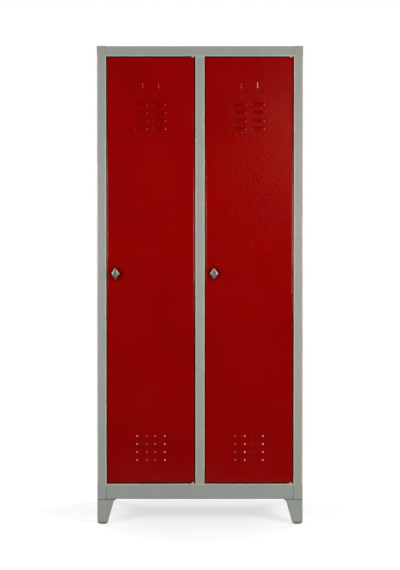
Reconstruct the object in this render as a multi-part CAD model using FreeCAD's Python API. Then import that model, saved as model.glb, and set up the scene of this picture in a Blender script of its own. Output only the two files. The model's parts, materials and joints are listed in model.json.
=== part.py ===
import FreeCAD, Part
import math
import os

# A clothing locker of folded sheet steel with two louvred doors, in millimetres.
# X runs to the right as seen from the front, Y from the front to the back, and Z up.
# The origin lies on the floor under the middle of the outline, knobs included.

# Carcass
locker_width = 796.0
locker_height = 1850.0
locker_depth = 500.0
body_sheet = 1.0
bend_radius = 1.5  # inside radius of the folds that show
hidden_bend = 0.0  # the stop lips' folds and those inside are drawn sharp
post_width = 36.0
post_return = 24.0  # depth of the frame beside the doors
post_side = 24.0  # depth of a side post's outer face
lap_width = 18.0  # edge of the side panel that is tucked into the post
lap_joggle = 2.0  # run over which that edge steps inward
stop_lip = 12.0  # lip that the closed doors rest against
top_rail_height = 38.0
top_rail_drop = 2.0  # from the tops of the posts down to the top rail
bottom_rail_height = 59.5
rail_flange = 25.0
back_return = 5.0  # narrow return behind the back panel
top_panel_flange = 20.0
floor_flange = 20.0
base_rail_width = 26.0  # angle along the side panel that the feet are welded to
base_rail_height = 30.0
corner_relief = 0.5  # notch left beyond the folds at a tray's corners
seat_gap = 0.1  # play between sheets that are riveted together

# Inside
shelf_level = 1548.0
shelf_flange = 25.0
shelf_front = 62.0  # from the locker's front to the shelf's front edge
hanger_diameter = 20.0
hanger_wall = 1.5
hanger_drop = 62.0  # from the shelf to the middle of the hanger rail
hanger_setback = 270.0  # from the locker's front to the hanger rail
socket_width = 40.0
socket_mouth = 30.0
socket_plate = 2.0
socket_depth = 12.0
socket_gap = 0.1

# Feet
foot_height = 98.0
foot_head = 76.0
foot_waist = 64.0
foot_sole = 38.0
foot_flare = 6.0  # height of the flare under the body
foot_outer_round = 11.0
foot_inner_round = 14.0
foot_flare_round = 8.0
foot_wall = 2.0
foot_plate = 3.0
foot_return = 10.0  # rim left beside the open inner corner

# Doors
door_thickness = 20.0
door_sheet = 1.0
door_setback = 1.0
door_side_gap = 4.0
door_top_gap = 3.0
door_bottom_gap = 5.0
door_back_flange = 16.0
stiffener_web = 40.0
stiffener_flange = 15.0
stiffener_depth = 12.0
stiffener_end_gap = 60.0  # from the louvres to the stiffener's ends
towel_bar_width = 12.0
towel_bar = 2.0
towel_height = 1150.0
towel_reach = 32.0
towel_inset = 12.0  # from the door's edge to the bar
buffer_width = 8.0
buffer_end_gap = 150.0
buffer_play = 0.3

# Louvres and card lances
louvre_lip = 50.0
louvre_shoulder = 39.0
louvre_height = 13.0
louvre_projection = 6.0
louvre_crown = 2.5  # height of the blunt front edge
louvre_end_slope = 4.0
louvre_pitch = 31.0
louvre_rows = 4
louvre_column_offset = 35.0
upper_louvre_drop = 186.0  # from the door's top to the uppermost lip
lower_louvre_rise = 78.0  # from the door's bottom to the lowest lip
lance_length = 24.0
lance_width = 5.0
lance_projection = 2.5
lance_crown = 1.0
lance_end_slope = 1.5
lance_offset = 32.5  # from the door's middle to each lance
lance_drop = 108.5  # from the door's top to the middle of the lances

# Pivots
pivot_diameter = 6.0
pivot_side_inset = 6.0
pivot_front_inset = 7.0
pivot_end_gap = 0.5
pivot_play = 0.3  # lift of the door before it meets its top bush
pivot_rest_gap = 0.05  # from the door down to its bottom bush
bush_width = 10.0  # of the square bush
bush_length = 6.0  # beyond the ledge
running_gap = 0.05  # radial, between a pin and its bush

# Latches
latch_height = 973.0
latch_inset = 32.0
knob_width = 31.0
knob_height = 45.0
knob_tip = 4.0  # width of the blunt corners
knob_projection = 26.0
knob_neck_diameter = 19.0
knob_neck = 8.0
knob_back_bevel = 3.0
knob_front_bevel = 5.0
knob_back_scale = 0.86
knob_front_scale = 0.74
knob_dish_scale = 0.5
knob_dish_rim = 0.04
knob_dish_depth = 1.0
knob_bore_depth = 14.0
knob_gap = 0.4  # between the knob and its bush
spindle_diameter = 8.0
spindle_square = 6.0  # across the flats that carry the knob and the cam
spindle_thread = 6.0
spindle_play = 0.3
latch_bush_diameter = 16.0
latch_bush_flange_diameter = 23.0
latch_bush_flange = 1.5
latch_nut_width = 22.0
latch_nut_height = 4.0
cam_reach = 34.0
cam_half_width = 8.0
cam_corner = 3.0
cam_thickness = 3.0
cam_gap = 1.0  # from the centre post's backing to the cam when it is turned behind it
cam_nut_width = 13.0
cam_nut_height = 6.5
spindle_end = 1.5

# Levels and planes that follow from the sizes above
half_width = locker_width / 2
knob_reach = knob_projection - door_setback
front_y = (knob_reach - locker_depth) / 2
back_y = front_y + locker_depth
fold = bend_radius + body_sheet
frame_bends = [bend_radius, bend_radius, hidden_bend]
hidden_bends = [hidden_bend] * 4
wall_inside = half_width - body_sheet
stop_y = front_y + post_return
lip_back_y = stop_y + body_sheet
back_panel_y = back_y - 2 * body_sheet
bottom_ledge = foot_height + bottom_rail_height
top_rail_top = locker_height - top_rail_drop
top_ledge = top_rail_top - top_rail_height
top_panel_top = top_rail_top + body_sheet
backing_back_y = lip_back_y + body_sheet
post_side_end = front_y + post_side
step_end = post_side_end + lap_joggle
wall_start = step_end + body_sheet
partition_half = body_sheet / 2
opening_width = (locker_width - 3 * post_width) / 2
opening_centre = (post_width + opening_width) / 2
door_width = opening_width - 2 * door_side_gap
door_half = door_width / 2
door_front = front_y + door_setback
door_back = door_front + door_thickness
door_inside = door_front + door_sheet
door_bottom = bottom_ledge + door_bottom_gap
door_top = top_ledge - door_top_gap
pivot_x = door_half - pivot_side_inset
pivot_y = door_front + pivot_front_inset
latch_x = latch_inset - door_half
lower_lip = door_bottom + lower_louvre_rise
upper_lip = door_top - upper_louvre_drop - (louvre_rows - 1) * louvre_pitch
cam_y = backing_back_y + cam_gap
latch_bush_depth = cam_y - spindle_play - door_front
door_sides = (("left", -opening_centre), ("right", opening_centre))

pieces = {}


def vec(x, y, z):
    return FreeCAD.Vector(x, y, z)


along_x = vec(1, 0, 0)
along_y = vec(0, 1, 0)
along_z = vec(0, 0, 1)


def block(low, high):
    size = high - low
    return Part.makeBox(size.x, size.y, size.z, low)


# Straight runs between the points, with an arc of its own radius at each inner point
def rounded_edges(points, radii):
    edges = []
    start = points[0]
    for before, corner, after, radius in zip(points, points[1:], points[2:], radii):
        arriving = (corner - before).normalize()
        leaving = (after - corner).normalize()
        half_turn = arriving.getAngle(leaving) / 2
        reach = radius * math.tan(half_turn)
        inward = (leaving - arriving).normalize()
        arc_start = corner - arriving * reach
        arc_middle = corner + inward * (radius / math.cos(half_turn) - radius)
        arc_end = corner + leaving * reach
        edges.append(Part.LineSegment(start, arc_start).toShape())
        if radius > 0:
            edges.append(Part.Arc(arc_start, arc_middle, arc_end).toShape())
        start = arc_end
    edges.append(Part.LineSegment(start, points[-1]).toShape())
    return edges


# A strip folded along the points, each fold with its own bend; the thickness is on the path's left
def folded_sheet(points, normal, thickness, sweep, bends):
    sides = []
    for before, after in zip(points, points[1:]):
        sides.append(normal.cross(after - before).normalize())
    far_points = [points[0] + sides[0] * thickness]
    near_radii = []
    far_radii = []
    for corner, side, next_side, bend in zip(points[1:], sides, sides[1:], bends):
        outer_bend = bend + thickness if bend > 0 else 0
        far_points.append(corner + (side + next_side) * (thickness / (1 + side.dot(next_side))))
        turns_left = side.cross(next_side).dot(normal) > 0
        near_radii.append(outer_bend if turns_left else bend)
        far_radii.append(bend if turns_left else outer_bend)
    far_points.append(points[-1] + sides[-1] * thickness)
    edges = rounded_edges(points, near_radii) + rounded_edges(far_points, far_radii)
    edges.append(Part.LineSegment(points[0], far_points[0]).toShape())
    edges.append(Part.LineSegment(points[-1], far_points[-1]).toShape())
    outline = Part.Wire(Part.__sortEdges__(edges))
    return Part.Face(outline).extrude(sweep)


# A sheet with folded edges; level is its flat outer face, and a negative flange hangs down
def flanged_tray(low_x, high_x, low_y, high_y, level, flange, open_front=False):
    relief = fold + corner_relief
    start_y = low_y if open_front else low_y + relief
    tip = level + flange
    across = [vec(low_x, start_y, tip), vec(low_x, start_y, level)]
    across += [vec(high_x, start_y, level), vec(high_x, start_y, tip)]
    start_x = low_x + relief
    along = [] if open_front else [vec(start_x, low_y, tip)]
    along += [vec(start_x, low_y, level), vec(start_x, high_y, level), vec(start_x, high_y, tip)]
    if flange < 0:
        across.reverse()
        along.reverse()
    side_sweep = along_y * (high_y - relief - start_y)
    end_sweep = along_x * (high_x - relief - start_x)
    side_flanges = folded_sheet(across, -along_y, body_sheet, side_sweep, hidden_bends)
    end_flanges = folded_sheet(along, along_x, body_sheet, end_sweep, hidden_bends)
    return side_flanges.fuse(end_flanges).removeSplitter()


# A turned piece: steps of radius and length from the base along the axis
def turned(steps, base, axis):
    across = vec(axis.y, axis.z, axis.x)
    points = [base]
    reach = 0.0
    for radius, length in steps:
        points.append(base + across * radius + axis * reach)
        reach += length
        points.append(base + across * radius + axis * reach)
    points.append(base + axis * reach)
    outline = Part.makePolygon(points + [base])
    return Part.Face(outline).revolve(base, axis, 360)


def bore(diameter, base, axis, length):
    return Part.makeCylinder(diameter / 2, length, base, axis)


def outline_face(points):
    return Part.Face(Part.makePolygon(points + [points[0]]))


# A solid with flat faces between matching loops of corners
def faceted(loops):
    faces = [outline_face(loops[0]), outline_face(loops[-1])]
    for near, far in zip(loops, loops[1:]):
        for index in range(len(near)):
            faces.append(outline_face([near[index - 1], near[index], far[index], far[index - 1]]))
    solid = Part.Solid(Part.Shell(faces))
    if solid.Volume < 0:
        solid.reverse()
    return solid


def hexagon(width, base, axis, height):
    across = vec(axis.y, axis.z, axis.x)
    upward = axis.cross(across)
    radius = width / math.sqrt(3)
    points = []
    for corner in range(6):
        angle = corner * math.pi / 3
        points.append(base + across * (radius * math.cos(angle)) + upward * (radius * math.sin(angle)))
    return outline_face(points).extrude(axis * height)


def mirrored(shape, normal):
    return shape.mirror(vec(0, 0, 0), normal)


# A folded section: outer side, front, inner return and stop lip
def left_post():
    outer = -half_width
    post_inner = outer + post_width
    lip_end = post_inner + stop_lip
    plan = [vec(outer, post_side_end, foot_height), vec(outer, front_y, foot_height)]
    plan += [vec(post_inner, front_y, foot_height), vec(post_inner, stop_y, foot_height)]
    plan.append(vec(lip_end, stop_y, foot_height))
    post = folded_sheet(plan, along_z, body_sheet, along_z * (locker_height - foot_height), frame_bends)
    behind_lip = vec(lip_end, lip_back_y, locker_height)
    post_hollow = outer + fold
    cuts = [block(vec(post_hollow, stop_y, foot_height), vec(lip_end, lip_back_y, bottom_ledge))]
    cuts.append(block(vec(post_hollow, stop_y, top_ledge), behind_lip))
    cuts.append(block(vec(post_hollow, front_y + fold, top_rail_top), behind_lip))
    return post.cut(cuts)


# A wall with a narrow return at the back and a stepped edge tucked into the post
def left_side_panel():
    outer = -half_width
    stepped = outer + body_sheet + seat_gap
    lap_front = post_side_end - lap_width
    plan = [vec(outer + back_return, back_y, foot_height), vec(outer, back_y, foot_height)]
    plan += [vec(outer, step_end, foot_height), vec(stepped, post_side_end, foot_height)]
    plan.append(vec(stepped, lap_front, foot_height))
    height = locker_height - foot_height
    wall = folded_sheet(plan, along_z, body_sheet, along_z * height, hidden_bends)
    lap_top = top_panel_top - top_panel_flange - seat_gap
    high = vec(stepped + body_sheet, wall_start, locker_height)
    return wall.cut(block(vec(stepped - seat_gap, lap_front, lap_top), high))


# An angle inside the side panel's foot
def left_base_rail():
    wall_x = seat_gap - wall_inside
    section = [vec(wall_x, wall_start, foot_height + base_rail_height), vec(wall_x, wall_start, foot_height)]
    section.append(vec(wall_x + base_rail_width, wall_start, foot_height))
    return folded_sheet(section, -along_y, body_sheet, along_y * (back_panel_y - wall_start), hidden_bends)


def centre_post():
    half = post_width / 2
    plan = [vec(-half - stop_lip, stop_y, bottom_ledge), vec(-half, stop_y, bottom_ledge)]
    plan += [vec(-half, front_y, bottom_ledge), vec(half, front_y, bottom_ledge)]
    plan += [vec(half, stop_y, bottom_ledge), vec(half + stop_lip, stop_y, bottom_ledge)]
    bends = [hidden_bend, bend_radius, bend_radius, hidden_bend]
    return folded_sheet(plan, along_z, body_sheet, along_z * (top_ledge - bottom_ledge), bends)


# A flat plate that closes the back of the centre post
def centre_post_backing():
    reach = post_width / 2 + stop_lip
    return block(vec(-reach, lip_back_y, bottom_ledge), vec(reach, backing_back_y, top_ledge))


# A bush's square outside, and the hole that it fills
def bush_form(centre, low_z, high_z):
    half = bush_width / 2
    low = vec(centre + pivot_x - half, pivot_y - half, low_z)
    return block(low, low + vec(bush_width, bush_width, high_z - low_z))


# The stop lip of a rail is left out where the lips of the posts run past it
def cut_rail(rail, low_z, high_z):
    inner_end = half_width - post_width
    lip_cut = stop_lip + seat_gap
    centre_cut = post_width / 2 + lip_cut
    spans = [(-inner_end, lip_cut - inner_end), (-centre_cut, centre_cut), (inner_end - lip_cut, inner_end)]
    cuts = []
    for start, end in spans:
        cuts.append(block(vec(start, stop_y, low_z), vec(end, lip_back_y, high_z)))
    for side, centre in door_sides:
        cuts.append(bush_form(centre, low_z, high_z))
    return rail.cut(cuts)


def top_rail():
    start = post_width - half_width
    section = [vec(start, front_y + rail_flange, top_rail_top), vec(start, front_y, top_rail_top)]
    section += [vec(start, front_y, top_ledge), vec(start, stop_y, top_ledge)]
    section.append(vec(start, stop_y, top_ledge - stop_lip))
    rail = folded_sheet(section, along_x, body_sheet, along_x * (-2 * start), frame_bends)
    return cut_rail(rail, top_ledge - stop_lip, top_ledge + fold)


def bottom_rail():
    start = post_width - half_width
    section = [vec(start, stop_y, bottom_ledge + stop_lip), vec(start, stop_y, bottom_ledge)]
    section += [vec(start, front_y, bottom_ledge), vec(start, front_y, foot_height)]
    section.append(vec(start, front_y + rail_flange, foot_height))
    rail = folded_sheet(section, along_x, body_sheet, along_x * (-2 * start), frame_bends[::-1])
    return cut_rail(rail, bottom_ledge - fold, bottom_ledge + stop_lip)


def top_panel():
    reach = wall_inside - seat_gap
    start_y = front_y + fold + seat_gap
    return flanged_tray(-reach, reach, start_y, back_panel_y, top_panel_top, -top_panel_flange, True)


def floor_panel():
    reach = wall_inside - seat_gap
    return flanged_tray(-reach, reach, lip_back_y, back_panel_y, bottom_ledge, -floor_flange)


def back_panel():
    reach = wall_inside - seat_gap
    low = vec(-reach, back_panel_y, foot_height)
    return block(low, vec(reach, back_panel_y + body_sheet, top_panel_top))


# A flat wall welded to the post's backing, notched round the top panel's back flange
def centre_partition():
    high = vec(partition_half, back_panel_y, top_rail_top)
    wall = block(vec(-partition_half, backing_back_y, bottom_ledge), high)
    notch_y = back_panel_y - body_sheet - seat_gap
    notch = vec(-partition_half, notch_y, top_panel_top - top_panel_flange - seat_gap)
    return wall.cut(block(notch, high))


def hat_shelf():
    inner = partition_half + seat_gap
    outer = wall_inside - seat_gap
    return flanged_tray(inner, outer, front_y + shelf_front, back_panel_y, shelf_level, -shelf_flange)


# The tube's ends stand against the closed ends of its two sockets
def hanger_rail():
    start = vec(partition_half + socket_plate, front_y + hanger_setback, shelf_level - hanger_drop)
    length = wall_inside - partition_half - 2 * socket_plate
    tube = bore(hanger_diameter, start, along_x, length)
    return tube.cut(bore(hanger_diameter - 2 * hanger_wall, start, along_x, length))


# A moulded block with a blind round hole, tapered towards its mouth
def hanger_socket(wall_x, direction):
    base = vec(wall_x, front_y + hanger_setback, shelf_level - hanger_drop)
    loops = []
    for width, reach in ((socket_width, 0), (socket_mouth, socket_plate + socket_depth)):
        low = base + direction * reach - (along_y + along_z) * (width / 2)
        high = low + (along_y + along_z) * width
        loops.append([low, low + along_y * width, high, low + along_z * width])
    seat = base + direction * socket_plate
    hole = bore(hanger_diameter + 2 * socket_gap, seat, direction, socket_depth)
    return faceted(loops).cut(hole)


# One side view of a foot: upright outside, leaning inside, with a flare under the body
def foot_profile(inset, bottom, top, outward):
    corner = vec(-half_width, front_y, 0)
    flare_start = foot_height - foot_flare
    flare_end = foot_waist + (foot_head - foot_waist) * (top - flare_start) / foot_flare
    stations = [(inset, top), (inset, bottom), (foot_sole - inset, bottom)]
    stations += [(foot_waist - inset, flare_start), (flare_end - inset, top)]
    points = [corner + outward * reach + along_z * level for reach, level in stations]
    edges = rounded_edges(points, [foot_outer_round - inset, foot_inner_round - inset, foot_flare_round])
    edges.append(Part.LineSegment(points[-1], points[0]).toShape())
    return Part.Face(Part.Wire(edges))


# A foot has the same profile seen from the front and from the side
def foot_form(inset, bottom, top):
    front_view = foot_profile(inset, bottom, top, along_x).extrude(along_y * foot_head)
    side_view = foot_profile(inset, bottom, top, along_y).extrude(along_x * foot_head)
    return front_view.common(side_view)


# A pressed foot with a sole, a top plate and an open inner corner
def front_left_foot():
    plate_under = foot_height - foot_plate
    foot = foot_form(0, 0, foot_height).cut(foot_form(foot_wall, foot_wall, plate_under))
    low = vec(foot_return - half_width, front_y + foot_return, foot_wall)
    high = vec(foot_head - half_width, front_y + foot_head, plate_under)
    return foot.cut(block(low, high))


# A square bush pressed through a ledge, standing out towards the door
def hinge_bush(centre, ledge, direction, stand_out):
    near = vec(centre + pivot_x, pivot_y, ledge) - direction * stand_out
    length = stand_out + bush_length
    far = near + direction * length
    bush = bush_form(centre, min(near.z, far.z), max(near.z, far.z))
    return bush.cut(bore(pivot_diameter + 2 * running_gap, near, direction, length))


# A stud welded to the door's folded edge that ends inside the bush
def pivot(edge, direction, gap):
    length = gap + bush_length - pivot_end_gap
    return bore(pivot_diameter, vec(pivot_x, pivot_y, edge), direction, length)


# A pressed hood: its lip is on Z = 0, it opens downward and it stands out towards -Y
def hood_form(lip, shoulder, height, projection, crown, end_slope, base_y, low_z):
    base = [vec(-lip / 2, base_y, low_z), vec(lip / 2, base_y, low_z)]
    base += [vec(shoulder / 2, base_y, height), vec(-shoulder / 2, base_y, height)]
    face_y = -projection
    front_low = lip / 2 - end_slope
    front_high = front_low - (lip - shoulder) / 2 * (crown - low_z) / (height - low_z)
    face = [vec(-front_low, face_y, low_z), vec(front_low, face_y, low_z)]
    face += [vec(front_high, face_y, crown), vec(-front_high, face_y, crown)]
    return faceted([base, face])


# The outside of a hood and the hollow behind it, which goes on through the door's sheet
def hood_pair(lip, shoulder, height, projection, crown, end_slope):
    skin = door_sheet
    outside = hood_form(lip, shoulder, height, projection, crown, end_slope, skin / 2, 0)
    inner_crown = crown * (projection - skin) / projection
    hollow = hood_form(
        lip - 2 * skin, shoulder - 2 * skin, height - skin / 2, projection - skin, inner_crown, end_slope,
        skin, -skin / 4)
    return outside, hollow


def hood_places():
    louvre = hood_pair(
        louvre_lip, louvre_shoulder, louvre_height, louvre_projection, louvre_crown, louvre_end_slope)
    lance = hood_pair(
        lance_length, lance_length - 2 * lance_end_slope, lance_width, lance_projection, lance_crown,
        lance_end_slope)
    upright = FreeCAD.Rotation()
    places = []
    for column in (-louvre_column_offset, louvre_column_offset):
        for field in (lower_lip, upper_lip):
            for row in range(louvre_rows):
                point = vec(column, door_front, field + row * louvre_pitch)
                places.append((louvre, FreeCAD.Placement(point, upright)))
    for side in (-1, 1):
        point = vec(side * (lance_offset - lance_width / 2), door_front, door_top - lance_drop)
        places.append((lance, FreeCAD.Placement(point, FreeCAD.Rotation(along_y, side * 90))))
    return places


def placed(shape, placement):
    return shape.transformed(placement.toMatrix())


# The outside of the door's pan, or its hollow: the front edges are folds, the back is square
def pan_form(inset, bend):
    reach = door_half - inset
    front = door_front + inset
    back = door_back - inset
    bottom = door_bottom + inset
    top = door_top - inset
    plan = [vec(-reach, back, bottom), vec(-reach, front, bottom), vec(reach, front, bottom)]
    plan.append(vec(reach, back, bottom))
    side = [vec(-reach, back, bottom), vec(-reach, front, bottom), vec(-reach, front, top)]
    side.append(vec(-reach, back, top))
    views = []
    for points, sweep in ((plan, along_z * (top - bottom)), (side, along_x * (2 * reach))):
        edges = rounded_edges(points, [bend, bend])
        edges.append(Part.LineSegment(points[-1], points[0]).toShape())
        views.append(Part.Face(Part.Wire(edges)).extrude(sweep))
    return views[0].common(views[1])


# A folded pan, open at the back inside its flanges, with louvres and lances pressed outward
def door_panel():
    pan = pan_form(0, bend_radius + door_sheet)
    hollow = pan_form(door_sheet, bend_radius)
    flange_low = vec(door_back_flange - door_half, door_back - door_sheet, door_bottom + door_back_flange)
    mouth = block(flange_low, vec(door_half - door_back_flange, door_back, door_top - door_back_flange))
    hoods = hood_places()
    outsides = [placed(pair[0], placement) for pair, placement in hoods]
    hollows = [placed(pair[1], placement) for pair, placement in hoods]
    latch_hole = bore(latch_bush_diameter, vec(latch_x, door_front, latch_height), along_y, door_sheet)
    return pan.cut([hollow, mouth]).fuse(outsides).cut(hollows + [latch_hole]).removeSplitter()


def door_stiffener():
    bottom = lower_lip + (louvre_rows - 1) * louvre_pitch + louvre_height + stiffener_end_gap
    top = upper_lip - stiffener_end_gap
    half = stiffener_web / 2
    web_y = door_inside + stiffener_depth
    plan = [vec(-half - stiffener_flange, door_inside, bottom), vec(-half, door_inside, bottom)]
    plan += [vec(-half, web_y, bottom), vec(half, web_y, bottom)]
    plan += [vec(half, door_inside, bottom), vec(half + stiffener_flange, door_inside, bottom)]
    return folded_sheet(plan, along_z, door_sheet, along_z * (top - bottom), hidden_bends)


# A flat bar folded back from the door's flanges
def towel_rail():
    reach = door_half - towel_inset
    far_y = door_back + towel_reach
    low = towel_height - towel_bar_width / 2
    plan = [vec(reach, door_back, low), vec(reach, far_y, low)]
    plan += [vec(-reach, far_y, low), vec(-reach, door_back, low)]
    return folded_sheet(plan, along_z, towel_bar, along_z * towel_bar_width, [bend_radius, bend_radius])


def latch_bush():
    base = vec(latch_x, door_front - latch_bush_flange, latch_height)
    steps = [(latch_bush_flange_diameter / 2, latch_bush_flange), (latch_bush_diameter / 2, latch_bush_depth)]
    hole = bore(spindle_diameter + 2 * running_gap, base, along_y, latch_bush_flange + latch_bush_depth)
    return turned(steps, base, along_y).cut(hole)


def latch_bush_nut():
    base = vec(latch_x, door_inside, latch_height)
    nut = hexagon(latch_nut_width, base, along_y, latch_nut_height)
    return nut.cut(bore(latch_bush_diameter, base, along_y, latch_nut_height))


# The corners of a diamond with blunt tips
def diamond(scale, y):
    half_across = knob_width / 2 * scale
    half_up = knob_height / 2 * scale
    tip = knob_tip / 2 * scale
    middle = vec(latch_x, y, latch_height)
    corners = [(tip, half_up), (half_across, tip), (half_across, -tip), (tip, -half_up)]
    corners += [(-tip, -half_up), (-half_across, -tip), (-half_across, tip), (-tip, half_up)]
    return [middle + along_x * across + along_z * up for across, up in corners]


# The square stretches of the spindle, and the holes that they fill
def spindle_flats(start_y, length):
    half = spindle_square / 2
    low = vec(latch_x - half, start_y, latch_height - half)
    return block(low, low + vec(spindle_square, length, spindle_square))


# A cast head with bevelled edges and a dished face, on a round neck
def knob():
    face_y = door_front - knob_projection
    neck_end = door_front - latch_bush_flange - knob_gap
    head_back = neck_end - knob_neck
    sections = [diamond(knob_back_scale, head_back), diamond(1.0, head_back - knob_back_bevel)]
    sections += [diamond(1.0, face_y + knob_front_bevel), diamond(knob_front_scale, face_y)]
    head = faceted(sections)
    neck = bore(knob_neck_diameter, vec(latch_x, head_back, latch_height), along_y, knob_neck)
    dish_edge = diamond(knob_dish_scale + knob_dish_rim, face_y)
    dish = faceted([dish_edge, diamond(knob_dish_scale, face_y + knob_dish_depth)])
    socket = spindle_flats(neck_end - knob_bore_depth, knob_bore_depth)
    return head.fuse(neck).cut([dish, socket])


# The knob in front of the bush and the cam behind it hold the spindle in place
def latch_spindle():
    neck_end = door_front - latch_bush_flange - knob_gap
    cam_back = cam_y + cam_thickness
    shaft = bore(spindle_diameter, vec(latch_x, neck_end, latch_height), along_y, cam_y - neck_end)
    knob_end = spindle_flats(neck_end - knob_bore_depth, knob_bore_depth)
    cam_seat = spindle_flats(cam_y, cam_thickness)
    thread = bore(spindle_thread, vec(latch_x, cam_back, latch_height), along_y, cam_nut_height + spindle_end)
    return shaft.fuse([knob_end, cam_seat, thread])


# The cam points up when it is free, and turns left behind the stop lip
def latch_cam():
    middle = vec(latch_x, cam_y, latch_height)
    blunt = cam_half_width - cam_corner
    right_side = [(blunt, -cam_half_width), (cam_half_width, -blunt)]
    right_side += [(cam_half_width, cam_reach - cam_corner), (blunt, cam_reach)]
    left_side = [(-across, up) for across, up in reversed(right_side)]
    points = [middle + along_x * across + along_z * up for across, up in right_side + left_side]
    plate = outline_face(points).extrude(along_y * cam_thickness)
    return plate.cut(spindle_flats(cam_y, cam_thickness))


def cam_nut():
    base = vec(latch_x, cam_y + cam_thickness, latch_height)
    nut = hexagon(cam_nut_width, base, along_y, cam_nut_height)
    return nut.cut(bore(spindle_thread, base, along_y, cam_nut_height))


# Square pads on the flat of the lip on each door's latch side
def door_buffers():
    x = (stop_lip + bend_radius - opening_width - buffer_width) / 2
    length = post_return - door_setback - door_thickness - buffer_play
    pad = vec(buffer_width, length, buffer_width)
    buffers = []
    for side, centre in door_sides:
        for z in (door_bottom + buffer_end_gap, door_top - buffer_end_gap):
            low = vec(centre + x, stop_y - length, z)
            buffers.append(block(low, low + pad))
    return Part.makeCompound(buffers)


# Carcass
sides = (("post", left_post()), ("side_panel", left_side_panel()), ("base_rail", left_base_rail()))
for name, shape in sides:
    pieces["left_" + name] = shape
    pieces["right_" + name] = mirrored(shape, along_x)
pieces["centre_post"] = centre_post()
pieces["centre_post_backing"] = centre_post_backing()
pieces["centre_partition"] = centre_partition()
pieces["top_rail"] = top_rail()
pieces["bottom_rail"] = bottom_rail()
pieces["top_panel"] = top_panel()
pieces["floor_panel"] = floor_panel()
pieces["back_panel"] = back_panel()
pieces["right_hat_shelf"] = hat_shelf()
pieces["left_hat_shelf"] = mirrored(pieces["right_hat_shelf"], along_x)
pieces["right_hanger_rail"] = hanger_rail()
pieces["left_hanger_rail"] = mirrored(pieces["right_hanger_rail"], along_x)
right_sockets = [hanger_socket(partition_half, along_x), hanger_socket(wall_inside, -along_x)]
left_sockets = [mirrored(socket, along_x) for socket in right_sockets]
pieces["hanger_rail_sockets"] = Part.makeCompound(right_sockets + left_sockets)

# Feet: the rear ones are turned about the middle of the carcass
foot = front_left_foot()
to_back = vec(0, front_y + back_y, 0)
pieces["front_left_foot"] = foot
pieces["front_right_foot"] = mirrored(foot, along_x)
pieces["rear_left_foot"] = mirrored(foot, along_y).translated(to_back)
pieces["rear_right_foot"] = mirrored(pieces["rear_left_foot"], along_x)

# Hinge bushes and buffers
top_stand_out = door_top_gap - pivot_play
bottom_stand_out = door_bottom_gap - pivot_rest_gap
top_bushes = [hinge_bush(centre, top_ledge, along_z, top_stand_out) for side, centre in door_sides]
bottom_bushes = [hinge_bush(centre, bottom_ledge, -along_z, bottom_stand_out) for side, centre in door_sides]
pieces["top_hinge_bushes"] = Part.makeCompound(top_bushes)
pieces["bottom_hinge_bushes"] = Part.makeCompound(bottom_bushes)
pieces["door_buffers"] = door_buffers()

# Both doors and both latches are alike
door_pieces = {
    "door_panel": door_panel(),
    "door_stiffener": door_stiffener(),
    "top_pivot": pivot(door_top, along_z, door_top_gap),
    "bottom_pivot": pivot(door_bottom, -along_z, door_bottom_gap),
    "towel_rail": towel_rail(),
    "latch_bush": latch_bush(),
    "latch_bush_nut": latch_bush_nut(),
    "knob": knob(),
    "latch_spindle": latch_spindle(),
    "latch_cam": latch_cam(),
    "cam_nut": cam_nut(),
}
for side, centre in door_sides:
    for name, shape in door_pieces.items():
        pieces[side + "_" + name] = shape.translated(along_x * centre)

os.makedirs("parts", exist_ok=True)
for name, shape in pieces.items():
    shape.exportStep("parts/" + name + ".step")
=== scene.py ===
import json
import math
import bmesh
import bpy
from mathutils import Matrix, Vector


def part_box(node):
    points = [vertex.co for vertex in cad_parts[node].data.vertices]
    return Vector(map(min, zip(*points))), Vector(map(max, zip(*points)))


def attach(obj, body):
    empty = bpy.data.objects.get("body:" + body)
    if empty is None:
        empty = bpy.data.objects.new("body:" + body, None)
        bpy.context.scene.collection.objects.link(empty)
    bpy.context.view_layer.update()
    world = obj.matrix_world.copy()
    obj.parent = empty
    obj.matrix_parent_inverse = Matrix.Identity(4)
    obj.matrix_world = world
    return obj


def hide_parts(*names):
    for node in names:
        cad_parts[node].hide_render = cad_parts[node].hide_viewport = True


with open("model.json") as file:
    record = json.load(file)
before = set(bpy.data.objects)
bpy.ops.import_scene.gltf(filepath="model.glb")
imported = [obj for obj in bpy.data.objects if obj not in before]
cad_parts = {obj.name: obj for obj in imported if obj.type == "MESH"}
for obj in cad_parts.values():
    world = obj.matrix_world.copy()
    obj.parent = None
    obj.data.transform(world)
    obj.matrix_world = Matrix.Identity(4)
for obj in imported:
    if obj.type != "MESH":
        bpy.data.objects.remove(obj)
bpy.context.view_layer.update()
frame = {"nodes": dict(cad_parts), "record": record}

mm = 0.001  # lengths in the settings are millimetres
onPlane = 1e-6  # metres within which a point counts as lying on a plane
cutReach = 1e-7  # metres within which a cut takes a point that is there
weldReach = 1e-5  # metres within which points are joined
nodes = frame["nodes"]


# A CAD node's lowest and highest corner at rest, in mm
def spanOf(node):
    return [[round(value / mm, 2) for value in corner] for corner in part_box(node)]


# Places that the frame gives, in mm: the middle of each door, and the latch and the hinge from that middle
doorSides = {}
for side in ("left", "right"):
    low, high = spanOf(side + "_door_panel")
    doorSides[side] = (low[0] + high[0]) / 2
axes = {}
for joint in frame["record"]["behaviour"]["joints"]:
    axes[joint["name"]] = [round(value / mm, 2) for value in joint["pos_m"]]
latchX = axes["left_knob_turn"][0] - doorSides["left"]
latchZ = axes["left_knob_turn"][2]
hingeX = axes["left_door_hinge"][0] - doorSides["left"]
hingeY = axes["left_door_hinge"][1]
knobLow, knobHigh = spanOf("left_knob")
knobHalf = ((knobHigh[0] - knobLow[0]) / 2, (knobHigh[2] - knobLow[2]) / 2)
print("frame loaded:", len(nodes), "CAD nodes")


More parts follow.
